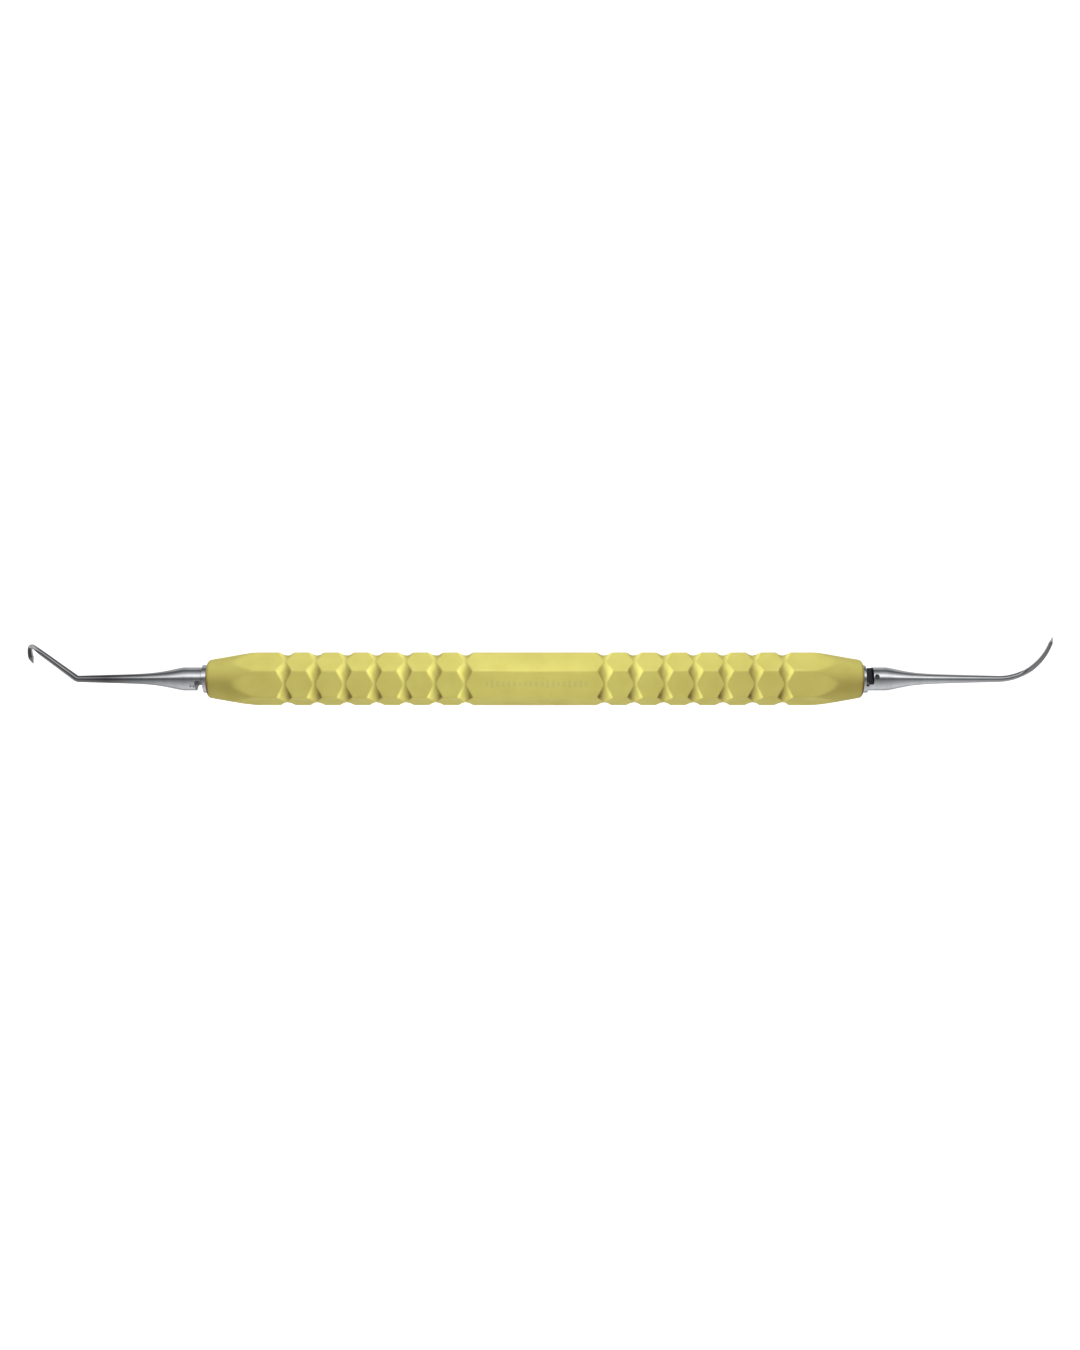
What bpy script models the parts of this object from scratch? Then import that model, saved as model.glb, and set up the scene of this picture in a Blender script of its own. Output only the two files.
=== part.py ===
"""Double-ended hand scaler, built from the pieces that it comes apart into on a bench.

A moulded hexagonal grip sits on a steel core tube. Each end of the tube holds a socket, and a
working end of one piece of steel is screwed into it, sealed by a ring and fixed by a cross pin.

Frame: X runs along the handle, Z is up, and the origin is the middle of the flat that the handle
rests on. Both blades bend in one plane, which holds X and leans LEAN below +Y.
A station is a distance from the grip's end face, positive outwards.
"""

import math

import bmesh
import bpy
from mathutils import Matrix, Vector

MM = 0.001
FIT_GAP = 0.05 * MM
SIDES = {"left": -1, "right": 1}

# Grip: a hexagonal bar with rounded corners, turned down by grooves and end cones.
GRIP_LENGTH = 110.0 * MM
HALF_LENGTH = GRIP_LENGTH / 2
ACROSS_FLATS = 8.0 * MM
CORNER_RADIUS = 0.5 * MM
AXIS_HEIGHT = ACROSS_FLATS / 2
ENVELOPE_RADIUS = 4.75 * MM
GROOVES_PER_SIDE = 7
GROOVE_PITCH = 5.0 * MM
FIRST_GROOVE = 11.65 * MM
GROOVE_FLOOR_RADIUS = 3.97 * MM
GROOVE_ARC_RADIUS = 1.45 * MM
GROOVE_STEPS = 5
END_CONE_ANGLE = math.radians(10.0)
END_ROUND_RADIUS = 0.7 * MM
END_FACE_RADIUS = 2.55 * MM
END_ROUND_STEPS = 4
GRIP_SEGMENTS = 30

# Core tube: its two ends stand out of the grip as short collars.
TUBE_RADIUS = 2.35 * MM
TUBE_BORE_RADIUS = 1.95 * MM
COLLAR_STATION = 0.9 * MM
TUBE_SEGMENTS = 30

# Socket: a bush in each end of the tube, with a pilot bore and a narrower threaded bore.
SOCKET_RADIUS = TUBE_BORE_RADIUS - FIT_GAP
SOCKET_LENGTH = 14.0 * MM
PILOT_BORE_RADIUS = 1.55 * MM
THREAD_BORE_RADIUS = 1.15 * MM
PILOT_LENGTH = 4.0 * MM

# Working end: tang, neck and shank are turned, and the tip is lofted along its bent route.
PILOT_RADIUS = PILOT_BORE_RADIUS - FIT_GAP
THREAD_RADIUS = THREAD_BORE_RADIUS - FIT_GAP
TANG_END_STATION = -11.0 * MM
SEAL_GROOVE_STATION = -1.3 * MM
SEAL_GROOVE_WIDTH = 0.55 * MM
SEAL_GROOVE_RADIUS = 1.10 * MM
NECK_RADIUS = 1.95 * MM
NECK_CHAMFER = 0.12 * MM
TAPER_START = 4.0 * MM
TAPER_LENGTH = 3.6 * MM
TAPER_POWER = 1.5
TAPER_STEPS = 16
BEND_STATION = 22.1 * MM
SHANK_RADIUS = 0.54 * MM
SHANK_SLOPE = 0.0265
JOIN_STATION = 19.4 * MM
JOIN_OVERLAP = 1.0 * MM
WORKING_SEGMENTS = 20

# Notch milled across the joint of collar and neck, and the dimple beside it.
NOTCH_START = {"left": 0.65 * MM, "right": 0.40 * MM}
NOTCH_LENGTH = 1.35 * MM
NOTCH_FLOOR = 0.7 * MM
NOTCH_CORNER = 0.25 * MM
DIMPLE_STATION = {"left": 2.45 * MM, "right": 2.25 * MM}
DIMPLE_RADIUS = 0.40 * MM
DIMPLE_DEPTH = 0.3 * MM
DIMPLE_TURN = {"left": math.radians(-38.0), "right": math.radians(12.0)}
NOTCH_TURN = {"left": math.radians(-79.0), "right": math.radians(40.0)}

# Seal ring and cross pin.
SEAL_THICKNESS = 0.40 * MM
SEAL_RADIUS = 1.325 * MM
PIN_RADIUS = 0.40 * MM
PIN_LENGTH = 4.5 * MM
PIN_STATION = -7.0 * MM
PIN_SEGMENTS = 16

# The plane in which both tips bend: LEAN below the horizontal, on the +Y side.
LEAN = math.radians(12.6)
ALONG = Vector((1.0, 0.0, 0.0))
RISE = Vector((0.0, math.cos(LEAN), -math.sin(LEAN)))
OUT = Vector((0.0, math.sin(LEAN), math.cos(LEAN)))
AXIS_MIDDLE = Vector((0.0, 0.0, AXIS_HEIGHT))

# Routes of the two tips from JOIN_STATION on: straight runs, and arcs whose turn is positive
# towards RISE. The corner radius is that of the centre line.
HOOK_BEND = math.radians(36.0)
HOOK_BEND_RADIUS = 1.0 * MM
HOOK_SHANK_LENGTH = 8.80 * MM
HOOK_TURN = math.radians(-126.0)
HOOK_TURN_RADIUS = 0.36 * MM
HOOK_BLADE_CURVE = math.radians(-26.0)
HOOK_BLADE_RADIUS = 5.6 * MM
SICKLE_START = 23.0 * MM
SICKLE_SWEEP = math.radians(75.0)
SICKLE_RADIUS = 9.5 * MM

# A blade's section has a flat face on the inside of the curve, two sides that draw together from
# it, and a rounded back. Its walls are (facing, depth) for a section of unit size.
SIDE_WALL_TURN = math.radians(70.0)
SECTION_WALLS = (
    (math.pi, 0.75),
    (SIDE_WALL_TURN, 0.76),
    (-SIDE_WALL_TURN, 0.76),
    (0.0, 1.0),
)
SECTION_SHARPNESS = 8.0


def clear_scene():
    for item in list(bpy.data.objects):
        bpy.data.objects.remove(item, do_unlink=True)


def new_collection(name):
    group = bpy.data.collections.new(name)
    bpy.context.scene.collection.children.link(group)
    return group


def new_material(name, colour, metallic, roughness):
    mat = bpy.data.materials.new(name)
    mat.use_nodes = True
    shader = mat.node_tree.nodes["Principled BSDF"]
    shader.inputs["Base Color"].default_value = (*colour, 1.0)
    shader.inputs["Metallic"].default_value = metallic
    shader.inputs["Roughness"].default_value = roughness
    return mat


def new_object(name, mesh, group, mat=None):
    item = bpy.data.objects.new(name, mesh)
    group.objects.link(item)
    if mat is not None:
        mesh.materials.append(mat)
    return item


def bmesh_object(name, group, fill):
    """An object whose mesh is made by fill(bm)."""
    bm = bmesh.new()
    fill(bm)
    mesh = bpy.data.meshes.new(name)
    bm.to_mesh(mesh)
    bm.free()
    return new_object(name, mesh, group)


def axis_matrix(side):
    """Turns local Z onto the handle's axis, outwards on that side."""
    turn = Matrix.Rotation(side * math.pi / 2, 4, "Y")
    return Matrix.Translation(AXIS_MIDDLE) @ turn


def turned(name, outline, segments, group, side=1):
    """Turns an outline of (radius, height) about the handle's axis. It runs down its outer side."""
    on_axis = outline[0][0] == 0.0
    count = len(outline)
    edges = [(i, i + 1) for i in range(count - 1)]
    if not on_axis:
        edges.append((count - 1, 0))
    mesh = bpy.data.meshes.new(name)
    mesh.from_pydata([(radius, 0.0, height) for radius, height in outline], edges, [])
    item = new_object(name, mesh, group)
    item.matrix_world = axis_matrix(side)
    screw = item.modifiers.new("Turn", "SCREW")
    screw.axis = "Z"
    screw.steps = segments
    screw.render_steps = segments
    screw.use_merge_vertices = True
    screw.merge_threshold = 0.000001
    return item


def combine(item, other, operation):
    step = item.modifiers.new(operation.title(), "BOOLEAN")
    step.operation = operation
    step.object = other


def bake(item, mat):
    """Applies the modifiers, gives the material and shades the round faces smooth."""
    bpy.context.view_layer.update()
    graph = bpy.context.evaluated_depsgraph_get()
    mesh = bpy.data.meshes.new_from_object(item.evaluated_get(graph))
    item.modifiers.clear()
    item.data = mesh
    mesh.name = item.name
    mesh.materials.clear()
    mesh.materials.append(mat)
    mesh.shade_smooth()
    mesh.set_sharp_from_angle(angle=math.radians(32.0))


def as_cutter(item):
    item.hide_render = True
    item.display_type = "WIRE"
    return item


def side_point(side, station, rise=0.0, out=0.0):
    """A point from its station, its height in the bend plane and its distance out of that plane."""
    return AXIS_MIDDLE + ALONG * side * (HALF_LENGTH + station) + RISE * rise + OUT * out


def outward(turn):
    """Unit vector square to the handle, turned from OUT towards RISE."""
    return OUT * math.cos(turn) + RISE * math.sin(turn)


# ---------------------------------------------------------------- grip


def arc(middle_radius, middle_height, radius, start, end, steps):
    """Points on an arc of an outline. At an angle of 0 it faces up the axis."""
    points = []
    for i in range(steps + 1):
        angle = start + (end - start) * i / steps
        points.append((middle_radius + radius * math.sin(angle), middle_height + radius * math.cos(angle)))
    return points


def grip_end_outline():
    """From the end face over the rounded edge and up the end cone."""
    tangent = math.pi / 2 - END_CONE_ANGLE
    round_height = HALF_LENGTH - END_ROUND_RADIUS
    points = arc(END_FACE_RADIUS, round_height, END_ROUND_RADIUS, 0.0, tangent, END_ROUND_STEPS)
    radius, height = points[-1]
    points.append((ENVELOPE_RADIUS, height - (ENVELOPE_RADIUS - radius) / math.tan(END_CONE_ANGLE)))
    return points


def groove_outline(middle):
    """A round-bottomed groove, from its outer lip to its inner lip."""
    arc_middle = GROOVE_FLOOR_RADIUS + GROOVE_ARC_RADIUS
    reach = math.acos((arc_middle - ENVELOPE_RADIUS) / GROOVE_ARC_RADIUS)
    start = 1.5 * math.pi + reach
    end = 1.5 * math.pi - reach
    return arc(arc_middle, middle, GROOVE_ARC_RADIUS, start, end, GROOVE_STEPS)


def grip_outline():
    """The turned envelope of the whole grip, with its bore."""
    half = grip_end_outline()
    for i in reversed(range(GROOVES_PER_SIDE)):
        half += groove_outline(FIRST_GROOVE + i * GROOVE_PITCH)
    other_half = [(radius, -height) for radius, height in reversed(half)]
    bore_radius = TUBE_RADIUS + FIT_GAP
    bore = [(bore_radius, -HALF_LENGTH), (bore_radius, HALF_LENGTH)]
    return half + other_half + bore


def make_grip(parts, cutters, mat):
    circumradius = ACROSS_FLATS / 2 / math.cos(math.pi / 6)

    def hexagon(bm):
        bmesh.ops.create_cone(
            bm,
            cap_ends=True,
            segments=6,
            radius1=circumradius,
            radius2=circumradius,
            depth=GRIP_LENGTH + 4.0 * MM,
        )

    grip = bmesh_object("grip_sleeve", parts, hexagon)
    grip.matrix_world = axis_matrix(1)
    corners = grip.modifiers.new("Corners", "BEVEL")
    corners.width = CORNER_RADIUS * math.tan(math.pi / 6)
    corners.segments = 2
    envelope = as_cutter(turned("grip_envelope", grip_outline(), GRIP_SEGMENTS, cutters))
    combine(grip, envelope, "INTERSECT")
    bake(grip, mat)


# ---------------------------------------------------------------- core tube and sockets


def notch_cutter(name, side, cutters):
    """A block with rounded edges that reaches from the notch's floor to beyond the collar."""
    height = TUBE_RADIUS * 2

    def block(bm):
        bmesh.ops.create_cube(bm, size=1.0)
        bmesh.ops.scale(bm, vec=(NOTCH_LENGTH, TUBE_RADIUS * 3, height), verts=bm.verts)

    cutter = as_cutter(bmesh_object(name + "_notch_cutter", cutters, block))
    edges = cutter.modifiers.new("Edges", "BEVEL")
    edges.width = NOTCH_CORNER
    edges.segments = 3
    facing = outward(NOTCH_TURN[name])
    across = facing.cross(ALONG)
    frame = Matrix((ALONG, across, facing)).transposed().to_4x4()
    middle = side_point(side, NOTCH_START[name] + NOTCH_LENGTH / 2) + facing * (NOTCH_FLOOR + height / 2)
    cutter.matrix_world = Matrix.Translation(middle) @ frame
    return cutter


def dimple_cutter(name, side, cutters):
    """A ball that sinks DIMPLE_DEPTH into the neck, beside the notch."""
    ball_radius = (DIMPLE_RADIUS**2 + DIMPLE_DEPTH**2) / (2 * DIMPLE_DEPTH)
    facing = outward(DIMPLE_TURN[name])
    middle = side_point(side, DIMPLE_STATION[name]) + facing * (NECK_RADIUS - DIMPLE_DEPTH + ball_radius)

    def ball(bm):
        bmesh.ops.create_uvsphere(bm, u_segments=16, v_segments=10, radius=ball_radius)

    cutter = as_cutter(bmesh_object(name + "_dimple_cutter", cutters, ball))
    cutter.matrix_world = Matrix.Translation(middle)
    return cutter


def cross_cylinder(name, side, radius, length, group):
    def cylinder(bm):
        bmesh.ops.create_cone(
            bm, cap_ends=True, segments=PIN_SEGMENTS, radius1=radius, radius2=radius, depth=length
        )

    item = bmesh_object(name, group, cylinder)
    item.matrix_world = Matrix.Translation(side_point(side, PIN_STATION))
    return item


def make_core_tube(parts, mat, cutters_of):
    end = HALF_LENGTH + COLLAR_STATION
    outline = [(TUBE_RADIUS, end), (TUBE_RADIUS, -end), (TUBE_BORE_RADIUS, -end), (TUBE_BORE_RADIUS, end)]
    tube = turned("core_tube", outline, TUBE_SEGMENTS, parts)
    for cutters in cutters_of.values():
        combine(tube, cutters["notch"], "DIFFERENCE")
        combine(tube, cutters["pin"], "DIFFERENCE")
    bake(tube, mat)


def make_socket(name, side, parts, mat, cutters):
    mouth = HALF_LENGTH + COLLAR_STATION
    inner = mouth - SOCKET_LENGTH
    step = mouth - PILOT_LENGTH
    outline = [
        (SOCKET_RADIUS, mouth),
        (SOCKET_RADIUS, inner),
        (THREAD_BORE_RADIUS, inner),
        (THREAD_BORE_RADIUS, step),
        (PILOT_BORE_RADIUS, step),
        (PILOT_BORE_RADIUS, mouth),
    ]
    socket = turned(name + "_socket", outline, WORKING_SEGMENTS, parts, side)
    combine(socket, cutters["notch"], "DIFFERENCE")
    combine(socket, cutters["pin"], "DIFFERENCE")
    bake(socket, mat)


def make_seal_ring(name, side, parts, mat):
    middle = HALF_LENGTH + SEAL_GROOVE_STATION
    outline = arc(SEAL_RADIUS, middle, SEAL_THICKNESS / 2, 0.0, 2 * math.pi, 8)[:-1]
    bake(turned(name + "_seal_ring", outline, WORKING_SEGMENTS, parts, side), mat)


# ---------------------------------------------------------------- working ends


def shank_radius(station):
    """Half the shank's diameter: a slow taper, plus the concave shoulder that runs into the neck."""
    slow = SHANK_RADIUS + SHANK_SLOPE * (BEND_STATION - station)
    excess = NECK_RADIUS - SHANK_RADIUS - SHANK_SLOPE * (BEND_STATION - TAPER_START)
    fall = (max(station - TAPER_START, 0.0) / TAPER_LENGTH) ** TAPER_POWER
    return slow + excess * math.exp(-fall)


def blank_outline():
    """Shank, neck and tang of a working end, from the outer end inwards."""
    outline = [
        (0.0, JOIN_STATION + JOIN_OVERLAP),
        (shank_radius(JOIN_STATION + JOIN_OVERLAP) - 0.04 * MM, JOIN_STATION + JOIN_OVERLAP),
        (shank_radius(JOIN_STATION) + 0.01 * MM, JOIN_STATION),
    ]
    run = JOIN_STATION - TAPER_START
    for i in range(1, TAPER_STEPS + 1):
        station = TAPER_START + run * (1 - i / TAPER_STEPS) ** 1.6
        outline.append((shank_radius(station), station))
    shoulder = COLLAR_STATION + FIT_GAP
    pilot_end = COLLAR_STATION - PILOT_LENGTH + FIT_GAP
    seal_top = SEAL_GROOVE_STATION + SEAL_GROOVE_WIDTH / 2
    seal_bottom = SEAL_GROOVE_STATION - SEAL_GROOVE_WIDTH / 2
    outline += [
        (NECK_RADIUS, shoulder + NECK_CHAMFER),
        (NECK_RADIUS - NECK_CHAMFER, shoulder),
        (PILOT_RADIUS, shoulder),
        (PILOT_RADIUS, seal_top),
        (SEAL_GROOVE_RADIUS, seal_top),
        (SEAL_GROOVE_RADIUS, seal_bottom),
        (PILOT_RADIUS, seal_bottom),
        (PILOT_RADIUS, pilot_end),
        (THREAD_RADIUS, pilot_end),
        (THREAD_RADIUS, TANG_END_STATION + 2 * NECK_CHAMFER),
        (THREAD_RADIUS - 2 * NECK_CHAMFER, TANG_END_STATION),
        (0.0, TANG_END_STATION),
    ]
    return [(radius, HALF_LENGTH + station) for radius, station in outline]


def walk(runs):
    """Places along a route of (length, turn, steps) runs, as (station, rise, heading, way)."""
    station, rise, heading, way = JOIN_STATION, 0.0, 0.0, 0.0
    places = [(station, rise, heading, way)]
    for length, turn, steps in runs:
        for _ in range(steps):
            chord = length / steps
            half_turn = turn / steps / 2
            if half_turn != 0.0:
                chord *= math.sin(half_turn) / half_turn
            station += chord * math.cos(heading + half_turn)
            rise += chord * math.sin(heading + half_turn)
            heading += turn / steps
            way += length / steps
            places.append((station, rise, heading, way))
    return places


def between(stations, way):
    """Straight-line values between rows of (way, radius, how far the section is a blade)."""
    for before, after in zip(stations, stations[1:]):
        if way <= after[0]:
            share = max(way - before[0], 0.0) / (after[0] - before[0])
            return [before[k] + share * (after[k] - before[k]) for k in (1, 2)]
    return stations[-1][1:]


def section_radius(angle, blade):
    """Distance to the edge of a section of unit size. At an angle of 0 it faces the blade's back."""
    total = 0.0
    for facing, depth in SECTION_WALLS:
        total += (max(math.cos(angle - facing), 0.0) / depth) ** SECTION_SHARPNESS
    ground = total ** (-1.0 / SECTION_SHARPNESS)
    return 1.0 + blade * (ground - 1.0)


def loft_tip(name, side, runs, stations, back, cutters):
    """A closed loft along the route. back is +1 if the blade's back faces the left of the route."""

    def fill(bm):
        rings = []
        for station, rise, heading, way in walk(runs):
            radius, blade = between(stations, way)
            ring = []
            for i in range(WORKING_SEGMENTS):
                angle = 2 * math.pi * i / WORKING_SEGMENTS
                reach = radius * section_radius(angle, blade)
                left = back * reach * math.cos(angle)
                place = side_point(
                    side,
                    station - left * math.sin(heading),
                    rise + left * math.cos(heading),
                    reach * math.sin(angle),
                )
                ring.append(bm.verts.new(place))
            rings.append(ring)
        for one, two in zip(rings, rings[1:]):
            for i in range(WORKING_SEGMENTS):
                k = (i + 1) % WORKING_SEGMENTS
                bm.faces.new((one[i], one[k], two[k], two[i]))
        bm.faces.new(rings[0])
        bm.faces.new(rings[-1])
        bmesh.ops.recalc_face_normals(bm, faces=bm.faces)

    return as_cutter(bmesh_object(name + "_tip", cutters, fill))


def hook_tip(name, side, cutters):
    """Straight shank, one bend, and a short blade folded back at its end."""
    corner = HOOK_BEND_RADIUS * math.tan(HOOK_BEND / 2)
    straight = BEND_STATION - JOIN_STATION - corner
    bend = HOOK_BEND_RADIUS * HOOK_BEND
    fold = HOOK_TURN_RADIUS * -HOOK_TURN
    blade = HOOK_BLADE_RADIUS * -HOOK_BLADE_CURVE
    runs = (
        (straight, 0.0, 2),
        (bend, HOOK_BEND, 4),
        (HOOK_SHANK_LENGTH, 0.0, 5),
        (fold, HOOK_TURN, 8),
        (blade, HOOK_BLADE_CURVE, 7),
    )
    shank_end = straight + bend + HOOK_SHANK_LENGTH
    length = shank_end + fold + blade
    stations = (
        (0.0, shank_radius(JOIN_STATION), 0.0),
        (straight, shank_radius(BEND_STATION), 0.0),
        (shank_end - 1.2 * MM, 0.45 * MM, 0.0),
        (shank_end, 0.38 * MM, 1.0),
        (shank_end + fold, 0.37 * MM, 1.0),
        (length - 1.0 * MM, 0.45 * MM, 1.0),
        (length, 0.06 * MM, 1.0),
    )
    return loft_tip(name, side, runs, stations, 1, cutters)


def sickle_tip(name, side, cutters):
    """Straight shank that runs into one long arc, and thins to a point."""
    straight = SICKLE_START - JOIN_STATION
    sweep = SICKLE_RADIUS * SICKLE_SWEEP
    length = straight + sweep
    runs = (
        (straight, 0.0, 3),
        (sweep, SICKLE_SWEEP, 18),
    )
    stations = (
        (0.0, shank_radius(JOIN_STATION), 0.0),
        (straight, shank_radius(SICKLE_START), 0.0),
        (straight + 3.5 * MM, 0.46 * MM, 0.0),
        (straight + 6.0 * MM, 0.46 * MM, 1.0),
        (length - 1.0 * MM, 0.33 * MM, 1.0),
        (length, 0.08 * MM, 1.0),
    )
    return loft_tip(name, side, runs, stations, -1, cutters)


def make_working_end(name, side, tip, parts, mat, cutters):
    end = turned(name + "_working_end", blank_outline(), WORKING_SEGMENTS, parts, side)
    combine(end, tip, "UNION")
    for key in ("notch", "dimple", "pin"):
        combine(end, cutters[key], "DIFFERENCE")
    bake(end, mat)


# ---------------------------------------------------------------- assembly


def main():
    clear_scene()
    parts = new_collection("hand_scaler")
    cutters = new_collection("cutters")
    yellow = new_material("yellow_polymer", (0.62, 0.54, 0.12), 0.0, 0.5)
    polished = new_material("polished_steel", (0.62, 0.63, 0.64), 1.0, 0.15)
    plain = new_material("plain_steel", (0.55, 0.56, 0.57), 1.0, 0.35)
    rubber = new_material("black_rubber", (0.02, 0.02, 0.02), 0.0, 0.6)

    cutters_of = {}
    for name, side in SIDES.items():
        hole = cross_cylinder(name + "_pin_cutter", side, PIN_RADIUS + FIT_GAP, PIN_LENGTH * 2, cutters)
        cutters_of[name] = {
            "notch": notch_cutter(name, side, cutters),
            "dimple": dimple_cutter(name, side, cutters),
            "pin": as_cutter(hole),
        }
    tips = {
        "left": hook_tip("left", SIDES["left"], cutters),
        "right": sickle_tip("right", SIDES["right"], cutters),
    }

    make_grip(parts, cutters, yellow)
    make_core_tube(parts, plain, cutters_of)
    for name, side in SIDES.items():
        make_socket(name, side, parts, plain, cutters_of[name])
        make_seal_ring(name, side, parts, rubber)
        make_working_end(name, side, tips[name], parts, polished, cutters_of[name])
        bake(cross_cylinder(name + "_cross_pin", side, PIN_RADIUS, PIN_LENGTH, parts), plain)


main()
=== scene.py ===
"""Looks for the double-ended hand scaler: fine meshes, materials, studio and camera.

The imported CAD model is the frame. The grip, the core tube and the two working ends are drawn by
finer meshes of the same shape, and the pieces inside keep their CAD mesh with better materials.
Lengths are in metres. X runs along the handle and a station is a distance from the grip's end.
"""

import math

import bmesh
import bpy
from mathutils import Matrix, Vector


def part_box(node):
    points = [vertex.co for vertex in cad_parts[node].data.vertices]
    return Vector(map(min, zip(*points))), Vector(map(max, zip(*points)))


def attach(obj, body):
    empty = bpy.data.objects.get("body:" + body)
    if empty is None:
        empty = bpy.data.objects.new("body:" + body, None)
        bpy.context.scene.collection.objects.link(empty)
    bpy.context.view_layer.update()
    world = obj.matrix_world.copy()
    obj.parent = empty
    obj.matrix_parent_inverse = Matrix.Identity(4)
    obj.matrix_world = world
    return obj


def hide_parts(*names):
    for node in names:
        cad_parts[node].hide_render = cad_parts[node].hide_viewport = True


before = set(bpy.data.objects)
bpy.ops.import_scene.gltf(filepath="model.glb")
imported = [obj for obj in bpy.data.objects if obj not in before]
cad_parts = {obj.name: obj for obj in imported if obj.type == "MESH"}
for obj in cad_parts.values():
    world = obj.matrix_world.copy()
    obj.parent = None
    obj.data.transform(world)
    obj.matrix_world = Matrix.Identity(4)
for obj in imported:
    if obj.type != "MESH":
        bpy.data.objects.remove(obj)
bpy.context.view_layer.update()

MM = 0.001
FIT_GAP = 0.05 * MM
SIDES = {"left": -1, "right": 1}
BODY = "root"

# A chamfer is slightly round: its middle point lies this share of its width from each face.
CHAMFER_FOLD = 0.3

GRIP_LOW, GRIP_HIGH = (Vector(corner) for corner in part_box("grip_sleeve"))
TUBE_LOW, TUBE_HIGH = (Vector(corner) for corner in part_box("core_tube"))
HALF_LENGTH = GRIP_HIGH.x
APOTHEM = (GRIP_HIGH.z - GRIP_LOW.z) / 2
AXIS_MIDDLE = Vector((0.0, 0.0, (GRIP_HIGH.z + GRIP_LOW.z) / 2))
TUBE_RADIUS = (TUBE_HIGH.z - TUBE_LOW.z) / 2
COLLAR_STATION = TUBE_HIGH.x - HALF_LENGTH

# The plane in which both tips bend: LEAN below the horizontal, on the +Y side.
LEAN = math.radians(12.6)
ALONG = Vector((1.0, 0.0, 0.0))
RISE = Vector((0.0, math.cos(LEAN), -math.sin(LEAN)))
OUT = Vector((0.0, math.sin(LEAN), math.cos(LEAN)))

# Grip
CORNER_RADIUS = 0.5 * MM
GROOVES_PER_SIDE = 7
GROOVE_PITCH = 5.0 * MM
FIRST_GROOVE = 11.65 * MM
GROOVE_FLOOR_RADIUS = 3.97 * MM
GROOVE_ARC_RADIUS = 1.45 * MM
CONE_SLOPE = math.tan(math.radians(10.0))
END_ROUND_RADIUS = 0.7 * MM
END_FACE_RADIUS = 2.55 * MM
MOUTH_CHAMFER = 0.06 * MM
BORE_ROW_STATION = -3.0 * MM
BORE_RADIUS = TUBE_RADIUS + FIT_GAP
CONE_ANGLE = math.atan(CONE_SLOPE)
ROUND_MIDDLE = HALF_LENGTH - END_ROUND_RADIUS
CONE_END = ROUND_MIDDLE + END_ROUND_RADIUS * math.sin(CONE_ANGLE)
CONE_END_RADIUS = END_FACE_RADIUS + END_ROUND_RADIUS * math.cos(CONE_ANGLE)

# How the grip's edges are softened: a groove's over this share of its depth, a cone's over a length.
SOFT_EDGE = 0.4
EDGE_BLEND = 0.12 * MM

# How finely the grip is divided. Rows stand close together over a margin on each side of an edge.
FLAT_COLUMNS = 22
CORNER_COLUMNS = 8
MARGIN_PLACES = (-1.0, -0.75, -0.5, -0.25, 0.0, 0.25, 0.5, 0.75, 1.0)
GROOVE_MARGIN = 0.36 * MM
GROOVE_MARGIN_SHARE = 0.45
CONE_MARGIN = 0.5 * MM
MIDDLE_LAND_STEPS = 10
LAND_STEPS = 5
FLOOR_STEPS = 12
CONE_LAND_STEPS = 6
CONE_STEPS = 10
ROUND_STEPS = 10

# Core tube and working ends
TUBE_BORE_RADIUS = 1.95 * MM
TUBE_ROW_STATION = -2.0 * MM
TUBE_POINTS = 128
RIM_CHAMFER = 0.12 * MM
PILOT_RADIUS = 1.50 * MM
THREAD_RADIUS = 1.10 * MM
PILOT_END_STATION = -3.05 * MM
TANG_END_STATION = -11.0 * MM
SEAL_GROOVE_STATION = -1.3 * MM
SEAL_GROOVE_WIDTH = 0.55 * MM
NECK_RADIUS = 1.95 * MM
NECK_CHAMFER = 0.12 * MM
TAPER_START = 4.0 * MM
TAPER_LENGTH = 3.6 * MM
TAPER_POWER = 1.5
BEND_STATION = 22.1 * MM
SHANK_RADIUS = 0.54 * MM
SHANK_SLOPE = 0.0265
STRAIGHT_END = 19.4 * MM
NECK_STEPS = 7
TAPER_STEPS = 60
TAPER_SPREAD = 1.4
RING_POINTS = 72

# The notch across each joint of collar and neck, and the dimple beside it. A turn is from OUT to RISE.
NOTCH_START = {"left": 0.65 * MM, "right": 0.40 * MM}
NOTCH_LENGTH = 1.35 * MM
NOTCH_FLOOR = 0.7 * MM
NOTCH_CORNER = 0.25 * MM
NOTCH_CORNER_STEPS = 6
NOTCH_TURN = {"left": math.radians(-79.0), "right": math.radians(40.0)}
DIMPLE_STATION = {"left": 2.45 * MM, "right": 2.25 * MM}
DIMPLE_RADIUS = 0.40 * MM
DIMPLE_DEPTH = 0.3 * MM
DIMPLE_TURN = {"left": math.radians(-38.0), "right": math.radians(12.0)}
PIN_STATION = -7.0 * MM
PIN_HOLE_RADIUS = 0.45 * MM

# A blade's section: the way each wall faces, where 0 is the back, and its distance from the middle.
SECTION_WALLS = (
    (math.pi, 0.75),
    (math.radians(70.0), 0.76),
    (math.radians(-70.0), 0.76),
    (0.0, 1.0),
)
# A higher value gives the section sharper edges.
SECTION_SHARPNESS = 11.0


# ---------------------------------------------------------------- meshes


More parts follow.
